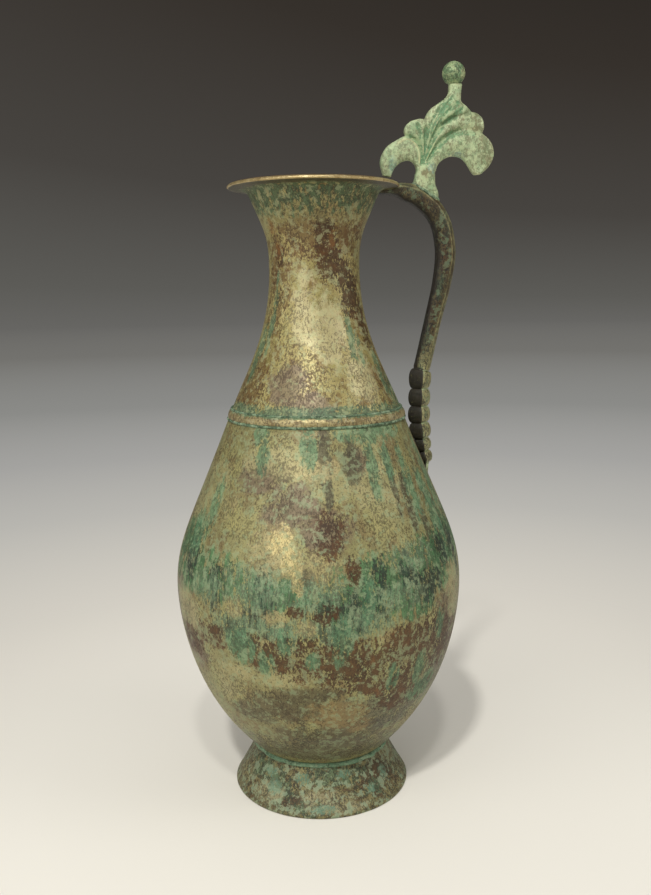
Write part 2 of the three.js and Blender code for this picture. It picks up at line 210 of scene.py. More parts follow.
def bare_bronze(name, codes, roughness, metallic, flat=False, grain=26):
    """The surface that a stain is laid on: tones of the metal, in clouds of the grain, and the two maps
    that place the stains. On the vessel a place is degrees round from the front and height, on a flat piece
    it is x and height."""
    material = bpy.data.materials.new(name)
    tree = blank(material)
    metres = add(tree, "TexCoord", output="Object")
    spot = add(tree, "VectorMath", {0: metres, "Scale": 1 / MM}, operation="SCALE")
    x, y, z = add(tree, "SeparateXYZ", {0: spot}, output=None)
    out = None
    if flat:
        place = add(tree, "CombineXYZ", {0: x, 1: z})
    else:
        across = add(tree, "Math", {0: x, 1: axis_x}, operation="SUBTRACT")
        ahead = add(tree, "Math", {0: y, 1: -1.0}, operation="MULTIPLY")
        angle = add(tree, "Math", {0: across, 1: ahead}, operation="ARCTAN2")
        place = add(tree, "CombineXYZ", {0: add(tree, "Math", {0: angle}, operation="DEGREES"), 1: z})
        level = add(tree, "CombineXYZ", {0: across, 1: ahead})
        out = add(tree, "VectorMath", {0: level}, output="Value", operation="LENGTH")
    clouds = add(tree, "TexNoise", {"Vector": spot, "Scale": 1 / grain, "Detail": 7, "Roughness": 0.7})
    upright = add(tree, "Mapping", {"Vector": spot, "Scale": (1, 1, 0.6)})
    speckle = add(
        tree, "TexNoise", {"Vector": upright, "Scale": 1 / speckle_grain, "Detail": 3, "Roughness": 0.75})
    mixed = add(tree, "Mix", {0: 0.4, 2: clouds, 3: speckle})
    colour = add(tree, "ValToRGB", {0: mixed}, stops=spread(codes))
    return SimpleNamespace(
        material=material, tree=tree, spot=spot, place=place, out=out, up=z, clouds=clouds, speckle=speckle,
        colour=colour, roughness=roughness, metallic=metallic, height=0.0, layers=0)


def stain(coat, codes, places=(), ground=0.0, grain=4, drip=1, ragged=9, fine=0.45, edge=0.1, cover=0.75,
          roughness=None, metallic=None, rise=0.0, shape=None):
    """One layer of patina. It lies in blobs at the places, each with its half width and half height, all
    over where ground is above nothing, or where a shape says. Its border follows a noise of the grain,
    drawn out downwards by drip and broken up by the speckle, whose share is fine. It stands proud by the
    rise."""
    tree = coat.tree
    coat.layers += 1
    field = shape if shape is not None else ground
    for x, z, half_width, half_height in places:
        near = add(tree, "Mapping", {
            "Vector": coat.place,
            "Location": (-x / half_width, -z / half_height, 0),
            "Scale": (1 / half_width, 1 / half_height, 1),
        })
        blob = add(tree, "TexGradient", {"Vector": near}, output="Fac", gradient_type="SPHERICAL")
        field = add(tree, "Math", {0: field, 1: blob}, operation="MAXIMUM")
    grown = add(tree, "Mapping", {
        "Vector": coat.spot,
        "Location": [step * coat.layers for step in layer_shift],
        "Scale": (1 / grain, 1 / grain, 1 / (grain * drip)),
    })
    border = add(tree, "TexNoise", {"Vector": grown, "Scale": 1, "Detail": 6, "Roughness": 0.72})
    broken = add(tree, "Mix", {0: fine, 2: border, 3: coat.speckle})
    swing = add(tree, "Math", {0: broken, 1: ragged, 2: 1 - ragged / 2}, operation="MULTIPLY_ADD")
    amount = add(tree, "Math", {0: swing, 1: field}, operation="MULTIPLY")
    mask = add(tree, "MapRange", {
        "Value": amount, "From Min": stain_level - edge, "From Max": stain_level + edge, "To Max": cover,
    }, interpolation_type="SMOOTHSTEP")
    tone = add(tree, "ValToRGB", {0: broken}, stops=spread(codes))
    coat.colour = add(tree, "Mix", {0: mask, 6: coat.colour, 7: tone}, output=2, data_type="RGBA")
    if roughness is not None:
        coat.roughness = add(tree, "Mix", {0: mask, 2: coat.roughness, 3: roughness})
    if metallic is not None:
        coat.metallic = add(tree, "Mix", {0: mask, 2: coat.metallic, 3: metallic})
    if rise:
        coat.height = add(tree, "Math", {0: mask, 1: rise, 2: coat.height}, operation="MULTIPLY_ADD")


def pitted(coat, dark, pale, ground=0.3, cover=0.5):
    """The fine end of every patina: dark pits and pale specks of crust, dense in some clouds and sparse in
    others."""
    dense, sparse = (
        add(coat.tree, "MapRange", {
            "Value": coat.clouds, "From Min": 0.4, "From Max": 0.6,
            "To Min": ground + low, "To Max": ground + high,
        })
        for low, high in ((-0.1, 0.07), (0, -0.14))
    )
    stain(coat, dark, shape=dense, grain=5, fine=0.75, edge=0.07, cover=cover, roughness=0.6, rise=-0.1)
    stain(coat, pale, shape=sparse, fine=-0.6, edge=0.07, cover=cover * 0.8, roughness=0.6, rise=0.05)


def weathered(coat, piece):
    """The finished material of a coat, put on a piece."""
    tree = coat.tree
    grit = add(tree, "Math", {0: coat.speckle, 1: speckle_relief, 2: coat.height}, operation="MULTIPLY_ADD")
    bump = add(tree, "Bump", {"Height": grit, "Distance": MM})
    surface = add(tree, "BsdfPrincipled", {
        "Base Color": coat.colour, "Roughness": coat.roughness, "Metallic": coat.metallic, "Normal": bump,
    })
    add(tree, "OutputMaterial", {"Surface": surface}, output=None)
    piece.data.materials.append(coat.material)
    return coat.material


# Bronze that lay in the ground and was cleaned: an olive film over the metal, satin where it was rubbed.
# Red-brown cuprite shows where the crust came off, and verdigris in a belt where the belly touched damp
# soil. Grains are real sizes, but the speckle is drawn at 1.1 mm, coarser than real, to show at this
# distance.
speckle_grain = 1.1
speckle_relief = 0.12
noise_reach = 0.26
stain_level = 0.36
layer_shift = (7.3, 3.1, 5.7)
coat = bare_bronze("weathered_cast_bronze_body", "#605c3b #878156 #a19962 #b3a96f", 0.42, 0.28)
stain(coat, "#6c6c44 #8e8b5a #9f9a62", ground=0.32, grain=20, drip=5, ragged=5, fine=0.2, edge=0.2,
      cover=0.7)
stain(coat, "#46331f #664d2e #7e6440", ground=0.3, grain=13, drip=2, ragged=7, fine=0.3, cover=0.6,
      roughness=0.5)
mauve_places = [
    (-38, 214, 22, 18), (-22, 198, 24, 20), (-8, 186, 20, 16), (62, 128, 34, 30), (-84, 128, 30, 34),
    (-70, 112, 20, 24), (150, 200, 40, 30), (-150, 120, 40, 34), (12, 222, 10, 14),
]
stain(coat, "#4f4131 #6c5b47 #806f5a", mauve_places, grain=14, ragged=6, fine=0.3, edge=0.16, cover=0.8)
straw_places = [
    (-30, 222, 34, 14), (-2, 208, 14, 12), (20, 206, 20, 22), (-75, 200, 34, 26), (-72, 130, 16, 24),
    (-34, 102, 36, 8), (-48, 92, 14, 22), (58, 134, 12, 26), (120, 210, 60, 20), (-150, 210, 60, 20),
    (160, 100, 90, 12),
]
stain(coat, "#857f54 #9d9566 #aba274", straw_places, grain=12, ragged=6, fine=0.2, edge=0.16, roughness=0.4)
bowl_places = [(-22, 82, 28, 19), (-40, 74, 20, 12), (0, 62, 50, 14), (-12, 92, 20, 8), (150, 70, 90, 24)]
stain(coat, "#3b3622 #534b32 #675b3e", bowl_places, grain=16, drip=1.5, ragged=6, fine=0.25, edge=0.2,
      cover=0.8)
slate_places = [(26, 76, 44, 24), (52, 92, 24, 30), (-10, 48, 80, 14), (0, 40, 360, 9), (160, 60, 80, 20)]
stain(coat, "#3f3e31 #555344 #6b6655", slate_places, grain=8, drip=1.5, ragged=7, fine=0.5, edge=0.16,
      cover=0.7)
tan_places = [(-2, 76, 20, 14), (-8, 84, 12, 6), (8, 68, 12, 10)]
stain(coat, "#78643a #8f794c", tan_places, grain=6, ragged=7, cover=0.8)
streak_places = [
    (-5, 226, 6, 34), (8, 222, 8, 20), (-4, 206, 3, 18), (30, 208, 3, 26), (37, 196, 4, 34),
    (44, 176, 4, 26), (-30, 158, 5, 26), (52, 206, 3, 30), (-14, 160, 4, 12), (58, 176, 4, 30),
]
stain(coat, "#34321f #4c4834 #5f5a44", streak_places, grain=6, drip=4, ragged=7, fine=0.25, edge=0.16,
      cover=0.8, roughness=0.5)
belt_places = [
    (-62, 157, 40, 21), (-78, 168, 20, 22), (-24, 152, 30, 14), (18, 156, 38, 24), (46, 162, 28, 24),
    (66, 172, 20, 22), (0, 140, 14, 18), (90, 162, 40, 18), (140, 158, 60, 22), (-130, 152, 60, 20),
    (178, 150, 50, 22), (-178, 150, 50, 22), (30, 144, 14, 18),
]
stain(coat, "#1d3821 #35603a #5a8556", belt_places, drip=5, fine=0.3, edge=0.12, cover=0.9, roughness=0.55,
      metallic=0.12, rise=0.04)
damp_places = [
    (2, 142, 24, 18), (-33, 138, 8, 12), (-30, 150, 8, 24), (34, 150, 16, 14), (-4, 128, 12, 14),
    (50, 168, 6, 20), (-52, 150, 6, 22), (14, 156, 5, 24), (62, 160, 6, 22), (-70, 160, 8, 18),
    (26, 158, 6, 20), (-42, 130, 10, 14), (-24, 131, 10, 9), (-6, 133, 12, 10),
]
stain(coat, "#111d14 #1e2e23 #314435", damp_places, grain=3, drip=6, ragged=12, fine=0.4, cover=0.88,
      roughness=0.55, metallic=0.12)
pale_places = [
    (-32, 154, 24, 18), (-12, 152, 20, 16), (0, 134, 30, 14), (-40, 130, 18, 14), (22, 148, 16, 12),
    (-56, 150, 14, 14), (120, 146, 70, 20), (-140, 140, 60, 22), (-26, 132, 26, 10), (30, 168, 16, 12),
]
stain(coat, "#4c6b4e #6f8b67 #a0a881", pale_places, grain=3, drip=4, ragged=14, edge=0.08, cover=0.72,
      roughness=0.64, metallic=0.08, rise=0.14)
cream_places = [
    (-42, 142, 6, 9), (-25, 139, 7, 7), (17, 124, 10, 10), (-31, 124, 6, 5), (-10, 168, 14, 12),
    (-14, 134, 6, 7), (-12, 218, 20, 9), (54, 146, 10, 16), (0, 124, 5, 7), (-28, 176, 14, 20),
]
stain(coat, "#8c8055 #a6996a #bcae7c", cream_places, ragged=11, cover=0.68, roughness=0.4)
rust_places = [
    (-22, 117, 36, 17), (8, 110, 44, 22), (34, 116, 34, 24), (-36, 120, 16, 12), (20, 98, 34, 14),
    (-5, 184, 9, 18), (4, 164, 5, 14), (52, 108, 26, 22), (-7, 142, 7, 9), (-18, 143, 5, 5),
    (-72, 112, 16, 16), (-54, 122, 14, 12), (130, 118, 70, 20), (-140, 170, 30, 28), (30, 84, 30, 14),
    (100, 116, 40, 18),
]
stain(coat, "#2a1909 #4b2f12 #6f4821", rust_places, grain=6, drip=1.6, ragged=10, fine=0.4, edge=0.12,
      cover=0.93, roughness=0.5, metallic=0.2, rise=-0.02)
drip_places = [
    (-14, 230, 7, 18), (-40, 224, 6, 16), (-44, 236, 8, 10), (26, 237, 34, 10), (20, 216, 5, 26),
    (30, 222, 5, 20), (42, 205, 6, 34), (54, 190, 8, 40), (66, 206, 8, 34), (-64, 192, 6, 26),
    (-72, 176, 10, 20), (-2, 126, 6, 22), (-40, 120, 10, 16), (-30, 112, 5, 12), (-12, 114, 4, 9),
    (34, 98, 5, 18), (20, 98, 4, 14), (40, 84, 14, 14), (150, 220, 16, 34), (-120, 215, 18, 34),
    (95, 200, 14, 36), (8, 150, 5, 20), (44, 124, 5, 14), (-22, 126, 5, 12),
]
stain(coat, "#2d4d33 #4c7753 #769a72", drip_places, drip=4, fine=0.35, edge=0.12, roughness=0.62,
      metallic=0.1, rise=0.05)
# Painted glints: bright gold flecks on the belly where the front-left lamp's highlight falls, on smoother,
# more metallic bronze
painted_glint_places = [(-25, 181, 7, 12), (-20, 170, 5, 12), (-17, 160, 3, 12)]
stain(coat, "#a8945e #c9b57a #e2d196", painted_glint_places, grain=2.5, drip=2.5, ragged=18, fine=0.5, cover=0.7,
      roughness=0.32, metallic=0.55, rise=-0.03)
pitted(coat, "#171309 #2e2616", "#b3b085 #8b9e76", ground=0.31, cover=0.6)
weathered(coat, ewer_body)
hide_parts("body")

# Foot: a hollow cone with a slightly hollow side, cast apart and soldered to the bowl. It stands on its
# edge, which wear has rounded.
foot_radius = 56.5
foot_edge = 1.4
foot_wall = 2.4
foot_edge_lean = -31
foot_top_lean = -22
foot_pull_shares = [(0.3, 0.3)]
worn_outer_edge = [(-0.9, 0), (-0.25, 0.25), (0, 0.75)]
worn_inner_edge = [(-0.4, 0.5), (-0.2, 0)]
clearance = 0.3
foot_top_radius = seat_radius - clearance
foot_line = outline(
    [(foot_radius, foot_edge, foot_edge_lean), (foot_top_radius, seat_height, foot_top_lean)],
    foot_pull_shares)
foot_inside = beside(foot_line, -foot_wall)
foot_profile = np.concatenate((
    [(foot_radius + out, up) for out, up in worn_outer_edge],
    foot_line[:-1],
    foot_inside[-2::-1],
    [(foot_inside[0][0] + out, up) for out, up in worn_inner_edge],
))
ewer_foot = turned("ewer_foot", foot_profile)

# The same bronze, browner: the foot stood in soil, so teal and brown blotches lie close together.
coat = bare_bronze("weathered_cast_bronze_foot", "#4f4a2e #746c46 #8f8657 #a09664", 0.48, 0.28, grain=12)
stain(coat, "#2f2015 #4e3823 #6a4e31", [(36, 17, 34, 18), (-32, 8, 20, 8), (150, 12, 90, 12)], ground=0.33,
      grain=7, ragged=7, cover=0.85, roughness=0.55, metallic=0.2)
stain(coat, "#28442f #466547 #6f8966", [(-42, 15, 18, 14), (30, 11, 12, 7), (-14, 6, 22, 7), (2, 21, 40, 8),
      (-64, 20, 20, 12), (120, 14, 60, 12)], ground=0.24, grain=3.5, drip=1.5, ragged=10, cover=0.7,
      roughness=0.64, metallic=0.1, rise=0.14)
stain(coat, "#8a8360 #a09770", [(-50, 10, 20, 9), (-6, 8, 26, 9), (6, 5, 26, 5)], grain=6, ragged=7,
      cover=0.85, roughness=0.44)
pitted(coat, "#15150c #2c2515", "#b4b388 #8ba081", ground=0.34, cover=0.75)
stain(coat, "#4f7459 #74947a", [(-46, 13, 8, 6), (-52, 20, 8, 4), (28, 11, 5, 3), (-8, 5, 12, 3),
      (-24, 20, 8, 4), (8, 22, 8, 3), (44, 16, 6, 5)], grain=2, ragged=14, fine=0.6, cover=0.6,
      roughness=0.66)
weathered(coat, ewer_foot)
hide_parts("foot")

# Solder of the foot: a run of soft solder in the corner between foot and bowl, uneven as it flowed, and
# long since grown over with verdigris.
foot_solder_radius = 1.6
solder_sides = 12
all_round = 1400


def solder_line(name, middle, radius, waver, grain):
    """A bead of solder that runs round the vessel at a radius and height."""
    bead = np.array([(cos(turn), sin(turn)) for turn in full_turn(solder_sides)])
    return turned(name, bead * radius + middle, waver=waver, grain=grain, inward=0)


foot_bead = solder_line(
    "foot_solder_line", (foot_top_radius + foot_solder_radius / 2, seat_height - foot_solder_radius / 4),
    foot_solder_radius, waver=1.0, grain=5)

# Verdigris: copper carbonate, matt and powdery, blue-green where it is thick and paler where it was
# touched.
coat = bare_bronze("verdigris_crust", "#3f5840 #576f52 #708667 #8a9c7d", 0.8, 0.05, grain=5)
stain(coat, "#20301f #34402a", ground=0.36, ragged=12, cover=0.85)
stain(coat, "#547459 #6f9473 #8eae8e", [(0, 28, all_round, 10)], grain=5, ragged=18, fine=0.3, cover=0.5,
      rise=0.06)
stain(coat, "#84987a #a0ae8c", ground=0.25, grain=3, fine=-0.5, cover=0.5, rise=0.06)
verdigris = weathered(coat, foot_bead)
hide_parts("foot_solder")

# Neck: cast apart, with a spigot that goes down inside the body's mouth. It narrows to the throat and opens
# to a flat lip, whose lower edge is rubbed bright and painted brighter as a highlight.
rim_radius = 51.8
rim_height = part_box("neck")[1].z / MM
lip_thickness = 2.4
throat_radius = 27.5
throat_drop = 48
flare_radius = 38.6
flare_drop = 7.6
flare_lean = 24
lip_lean = 88
lip_undercut = 0.7
neck_pull_shares = [(0.338, 0.443), (0.42, 0.5), (0.25, 0.78)]
lip_skip = 3
worn_lip = [(0, -1.9), (0, -1.5), (-0.6, -0.7), (-1.8, -0.15), (-3.3, 0)]
spigot_length = 9
spigot_wall = 1.6
neck_line = outline([
    shoulder,
    (throat_radius, rim_height - throat_drop, 0),
    (flare_radius, rim_height - flare_drop, flare_lean),
    (rim_radius - lip_undercut, rim_height - lip_thickness, lip_lean),
], neck_pull_shares)
# The wall thickens to the lip's over the last of the neck's three stretches
lip_share = np.clip(np.linspace(0, 3, len(neck_line)) - 2, 0, 1)
neck_inside = beside(neck_line, -(wall + (lip_thickness - wall) * lip_share))


def at_shoulder(up, out):
    """A point at the joint of body and neck: so far up the wall, and so far out from its surface."""
    lean = radians(shoulder_lean)
    return np.array(shoulder[:2]) + (up * sin(lean) + out * cos(lean), up * cos(lean) - out * sin(lean))


spigot_out = -(wall + clearance)
neck_profile = np.concatenate((
    [at_shoulder(0, 0)],
    neck_line[1:],
    [(rim_radius + out, rim_height + up) for out, up in worn_lip],
    neck_inside[-1 - lip_skip:0:-1],
    [at_shoulder(spigot_length / 2, -wall), at_shoulder(0, spigot_out - spigot_wall)],
    [at_shoulder(-spigot_length, spigot_out - spigot_wall), at_shoulder(-spigot_length, spigot_out)],
    [at_shoulder(0, spigot_out)],
))
ewer_neck = turned("ewer_neck", neck_profile, waver=0.25)

# The same bronze with more yellow in it. Hands kept the lip's edge golden, with a painted highlight on it,
# and the lip's underside is painted dark as shade. Under the lip a dark green crust runs down the wall in
# fingers.
coat = bare_bronze("weathered_cast_bronze_neck", "#726739 #978a55 #b0a269 #c0b278", 0.38, 0.28)
stain(coat, "#6f6a3e #8d874f #9f9659", ground=0.3, grain=16, drip=4, ragged=5, fine=0.2, edge=0.2,
      cover=0.6)
stain(coat, "#3c2914 #5f4520 #7d5d32", ground=0.32, grain=10, drip=1.5, ragged=8, fine=0.35, roughness=0.48)
stain(coat, "#4f3722 #70502e", [(0, 350, 100, 22), (-60, 330, 30, 30), (-70, 262, 30, 26),
      (60, 262, 20, 20)], grain=6, fine=0.55, cover=0.7)
stain(coat, "#57483a #73634f #867662", [(-32, 264, 26, 18), (-12, 250, 24, 14), (160, 280, 60, 30)],
      grain=11, ragged=6, fine=0.25, edge=0.16)
# Pale straw on the front of the throat, smoother there, and painted lighter as the sheen of the left softbox
stain(coat, "#9f946c #b8ad80 #cbc194", [(-20, 306, 28, 34), (2, 294, 30, 34), (30, 268, 20, 30)], grain=10,
      ragged=6, fine=0.3, edge=0.16, cover=0.7, roughness=0.3)
stain(coat, "#251407 #43290f #64421c", [(2, 348, 20, 26), (10, 334, 28, 20), (38, 316, 26, 24),
      (54, 298, 16, 24), (-56, 338, 12, 10), (28, 326, 18, 14), (150, 330, 60, 30)], grain=7, ragged=7,
      cover=0.9, roughness=0.48, metallic=0.2, rise=0.03)
stain(coat, "#7d5023 #9c6c33", [(-58, 340, 10, 8), (-62, 354, 10, 8), (10, 362, 16, 8), (12, 346, 6, 8)],
      cover=0.4)
stain(coat, "#27482f #43694a #66896a", [(-64, 298, 8, 26), (-60, 318, 5, 16), (28, 290, 8, 22),
      (36, 284, 5, 16), (58, 268, 9, 24), (66, 256, 14, 18), (-76, 280, 10, 34), (140, 300, 22, 50)],
      drip=4, ragged=10, fine=0.35, roughness=0.6, metallic=0.1, rise=0.04)
stain(coat, "#7c764a #978f5f", [(0, 364, all_round, 12)], grain=3, drip=5, ragged=8, fine=0.3, cover=0.6)
stain(coat, "#26361f #3a5236 #58714d", [(0, 378, all_round, 24)], grain=2.5, drip=8, fine=0.1, edge=0.14,
      cover=0.88, roughness=0.6, metallic=0.15)
stain(coat, "#3d6247 #5d8060", [(0, 246, all_round, 8)], grain=6, drip=1.5, edge=0.14, roughness=0.64,
      metallic=0.1, rise=0.05)
pitted(coat, "#1a1209 #332516", "#c3ba8e #a3a97c", ground=0.31, cover=0.55)
lip_coat_drop = 10.6
lip_bands = (flare_radius + 2, rim_radius - 4), (rim_radius - 1.3, rim_radius - 0.4)
above = add(coat.tree, "Math", {0: coat.up, 1: rim_height - lip_coat_drop}, operation="GREATER_THAN")
lip_reach = add(coat.tree, "Math", {0: coat.out, 1: above}, operation="MULTIPLY")
lip_under, lip_edge = (
    add(coat.tree, "MapRange", {"Value": lip_reach, "From Min": start, "From Max": end})
    for start, end in lip_bands
)
# Painted shade: the underside of the lip is darkened where it overhangs
stain(coat, "#2c2718 #473e2a #63573b", shape=lip_under, grain=8, ragged=6, edge=0.2, cover=0.85,
      roughness=0.5, metallic=0.3)
# The lip's lower edge: rubbed golden metal, painted brighter as the highlight on its rounded edge
stain(coat, "#8f7648 #c2ab78 #dccb9a", shape=lip_edge, grain=9, ragged=2, edge=0.12, cover=0.9,
      roughness=0.34, metallic=0.7)
stain(coat, "#49331f #6e5231 #8d6f45", [(0, 380.4, all_round, 1.5)], grain=6, ragged=2, cover=0.9,
      roughness=0.45, metallic=0.4)
weathered(coat, ewer_neck)
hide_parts("neck")

# Shoulder ring: a half-round moulding of bronze wire that covers the joint of body and neck, with a thin
# line of solder above and below it.
ring_bulge = 1.5
ring_half_height = 2.9
ring_solder_radius = 0.9
ring_points = 24
ring_profile = [
    at_shoulder(ring_half_height * sin(turn), ring_bulge * cos(turn)) for turn in full_turn(ring_points)
]
shoulder_ring = turned("ring_of_bronze_wire", ring_profile, waver=0.5, grain=14, inward=0.2)

# Bronze wire, rubbed to a pale gold on its crest, with green beside the solder.
coat = bare_bronze("rubbed_bronze_wire", "#7a6c42 #a09163 #b9aa7a #c4b788", 0.4, 0.5, grain=9)
stain(coat, "#3f3422 #5b4a2e #74603c", ground=0.34, grain=5, ragged=8, cover=0.8, roughness=0.5,
      metallic=0.3)
stain(coat, "#3a5c42 #557857 #75966f", [(0, 246.6, all_round, 2.6), (0, 239.6, all_round, 2.0)], ground=0.2,
      grain=5, ragged=7, roughness=0.66, metallic=0.1)
pitted(coat, "#241c13 #3f3220", "#d8cd9f #c4bd96")
weathered(coat, shoulder_ring)
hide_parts("shoulder_ring")
for name, side in (("ring_solder_upper", 1), ("ring_solder_lower", -1)):
    line = solder_line(
        name + "_line", at_shoulder(side * (ring_half_height + clearance), 0), ring_solder_radius,
        waver=0.5, grain=3)
    line.data.materials.append(verdigris)
    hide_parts(name)

# Handle: an eight-sided bar, cast solid. It starts in a tongue under the lip, bends over and comes down to
# six beads that grow smaller and end in a tail on the shoulder.
handle_reach = 82.6
tongue_drop = 3.1
handle_top = rim_height - tongue_drop
handle_width = 12
waist_width = 9.8
handle_depth = 11.4
waist_depth = 9.6
handle_chamfer = 3
chamfer_limit_share = 0.25
arris_rounding = 0.8
arris_limit_share = 0.4
tongue_width = 3.8
tongue_depth = 13
bead_top = 267
beaded_length = 59.5
bead_width = 14.6
bead_depth = 13.6
bead_groove = 2.5
bead_chamfer_share = 0.44
tail_length = 8
tail_width = 3.4
tail_depth = 6.5
ring_steps = 14
bar_line_shares = [
    (-0.416, 0.006), (-0.188, 0.005), (0.032, 0), (0.201, 0.012), (0.394, 0.03), (0.6, 0.07), (0.785, 0.123),
    (0.92, 0.198), (0.989, 0.296), (1, 0.363), (0.922, 0.518), (0.732, 0.737), (0.517, 0.99),
]
bar_width_shares = [0.68, 0.9, 0.97, 1, 1, 1, 1, 1]
bead_standoff_shares = [0.835, 0.63, 0.454, 0.314, 0.209, 0.136, 0.074]
bead_height_shares = [0.197, 0.188, 0.177, 0.17, 0.138, 0.13]
bead_size_shares = [1, 0.99, 1, 0.99, 0.86, 0.76]
tail_standoff_share = -0.038
tail_start_share = 0.15
bar_widths = [tongue_width] * 2 + [handle_width * share for share in bar_width_shares]
bar_widths += [(handle_width + waist_width) / 2, waist_width, waist_width]
bar_depths = [tongue_depth] * 2 + [handle_depth] * len(bar_width_shares)
bar_depths += [(handle_depth + waist_depth) / 2, waist_depth, waist_depth]
vessel_line = np.concatenate((body_line, neck_line[1:]))


def off_wall(height, share):
    """A point of the handle's middle line at a height, a share of its reach off the vessel's wall."""
    radius = np.interp(height, vessel_line[:, 1], vessel_line[:, 0])
    return radius + share * (handle_reach - shoulder_radius), height


bar_line = [
    (rim_radius + reach * (handle_reach - rim_radius), handle_top + drop * (bead_top - handle_top))
    for reach, drop in bar_line_shares
]
groove_heights = bead_top - beaded_length * np.cumsum([0, *bead_height_shares])
groove_line = [off_wall(height, share) for height, share in zip(groove_heights, bead_standoff_shares)]
tail_end = off_wall(groove_heights[-1] - tail_length, tail_standoff_share)
handle_line = np.array([*bar_line, *groove_line, tail_end]) + (axis_x, 0)


def along(stations, place):
    """A point and the direction of a smooth line through stations, at a place counted in stations. The line
    slows down in short spans, so that it doesn't loop."""
    i = min(int(place), len(stations) - 2)
    t = place - i
    first = stations[i - 1] if i else 2 * stations[0] - stations[1]
    last = stations[i + 2] if i + 2 < len(stations) else 2 * stations[-1] - stations[-2]
    a, b = stations[i], stations[i + 1]
    before, span, after = (sqrt(np.linalg.norm(q - p)) for p, q in ((first, a), (a, b), (b, last)))
    leave = ((a - first) / before - (b - first) / (before + span) + (b - a) / span) * span
    arrive = ((b - a) / span - (last - a) / (span + after) + (last - b) / after) * span
    curve = a, leave, 3 * (b - a) - 2 * leave - arrive, 2 * (a - b) + leave + arrive
    point = sum(c * t ** k for k, c in enumerate(curve))
    run = sum(k * c * t ** (k - 1) for k, c in enumerate(curve) if k)
    return point, run / np.linalg.norm(run)


def eight_sided(width, depth, chamfer):
    """Section of a chamfered bar, each arris rounded by three points."""
    w, d = width / 2, depth / 2
    corners = np.array([
        (w, chamfer - d), (w, d - chamfer), (w - chamfer, d), (chamfer - w, d),
        (-w, d - chamfer), (-w, chamfer - d), (chamfer - w, -d), (w - chamfer, -d),
    ])
    section = []
    for i, corner in enumerate(corners):
        sides = [other - corner for other in (corners[i - 1], corners[(i + 1) % len(corners)])]
        start, end = (
            corner + side * min(arris_rounding / np.linalg.norm(side), arris_limit_share) for side in sides
        )
        section += [start, (start + 2 * corner + end) / 4, end]
    return section


def bar(name, rings):
    """Rings of points joined into a bar, with a point in the middle of each end."""
    return joined(name, [[np.mean(rings[0], 0)], *rings, [np.mean(rings[-1], 0)]])


handle_rings = []


def add_ring(place, width, depth, chamfer):
    """The handle's section at a place on its middle line."""
    (x, z), (run_x, run_z) = along(handle_line, place)
    section = eight_sided(width, depth, chamfer)
    handle_rings.append([(x + a * run_z, b, z - a * run_x) for a, b in section])


last_bar = len(bar_line) - 1
for step in range(last_bar * ring_steps + 1):
    place = step / ring_steps
    width = np.interp(place, range(len(bar_widths)), bar_widths)
    depth = np.interp(place, range(len(bar_depths)), bar_depths)
    add_ring(place, width, depth, min(handle_chamfer, width * chamfer_limit_share))
for bead, size in enumerate(bead_size_shares):
    for step in range(ring_steps + (bead == len(bead_size_shares) - 1)):
        turn = pi * step / ring_steps
        groove = 2 * bead_groove * (1 - sin(turn))
        width = bead_width * size - groove
        place = last_bar + 1 + bead + (1 - cos(turn)) / 2
        add_ring(place, width, bead_depth * size - groove, width * bead_chamfer_share)
last_station = len(handle_line) - 1
for place, depth in ((last_station - 1 + tail_start_share, tail_depth), (last_station, tail_depth / 2)):
    add_ring(place, tail_width, depth, tail_width * chamfer_limit_share)
ewer_handle = bar("ewer_handle", handle_rings)

# How much of each finish the eight corners have, on the bar and on the beads, and the shares of it over the
# three points of a rounded corner: wear with a painted highlight on the outer arrises, painted shade on the
# side towards the vessel, and crust with a painted highlight. The crust lies in the grooves alone, on the
# lit side of the beads, and thins out over a few rings.
corner_shares = {
    "worn_and_highlit": ([0, 0, 0, 0.5, 1, 1, 0.5, 0], [0, 0, 0, 0, 0.7, 0.7, 0, 0], (0.4, 1, 0.4)),
    "painted_shade": ([0.6, 0.8, 0.6, 0, 0, 0, 0, 0.2], [1, 1, 1, 0, 0, 0, 0, 1], (1, 1, 1)),
    "crust_and_highlight": ([0] * 8, [0, 0, 0, 0, 0.4, 1, 1, 0.2], (1, 1, 1)),
}
crust_rings = 3
half_bead = ring_steps / 2
for name, (bar_shares, bead_shares, point_shares) in corner_shares.items():
    values = []
    for ring in range(len(handle_rings)):
        beyond_bar = ring - last_bar * ring_steps
        shares = bead_shares if beyond_bar > 0 else bar_shares
        off_groove = abs((beyond_bar - 1 + half_bead) % ring_steps - half_bead)
        left = max(0, 1 - off_groove / crust_rings) if name == "crust_and_highlight" else 1
        values += [left * share * part for share in shares for part in point_shares]
    ewer_handle.data.attributes.new(name, "FLOAT", "POINT").data.foreach_set("value", [0, *values, 0])

# Dark bronze: the handle kept a brown film with green in the pores. The side towards the vessel is painted
# near black as shade, the outer arrises are worn bright and carry a painted highlight, the beads' outer
# facets are painted light as if lit from the right, and a pale green crust stands in the grooves of the
# beads on their lit side, partly a painted highlight.
coat = bare_bronze(
    "dark_cast_bronze_handle", "#262116 #463d28 #665c3b #7f744d", 0.42, 0.3, flat=True, grain=9)
stain(coat, "#2a1a0e #47301b #633f24", [(72, 350, 10, 20), (72, 330, 10, 20), (66, 300, 10, 24)],
      ground=0.31, grain=6, drip=2)
stain(coat, "#1d3023 #33503a #4f7055", [(60, 378, 22, 8), (40, 382, 16, 6), (71, 357, 5, 16),
      (66, 320, 4, 14), (57, 290, 4, 18)], ground=0.22, grain=3, drip=2, ragged=12, fine=0.6, cover=0.65,
      roughness=0.62, metallic=0.1, rise=0.16)
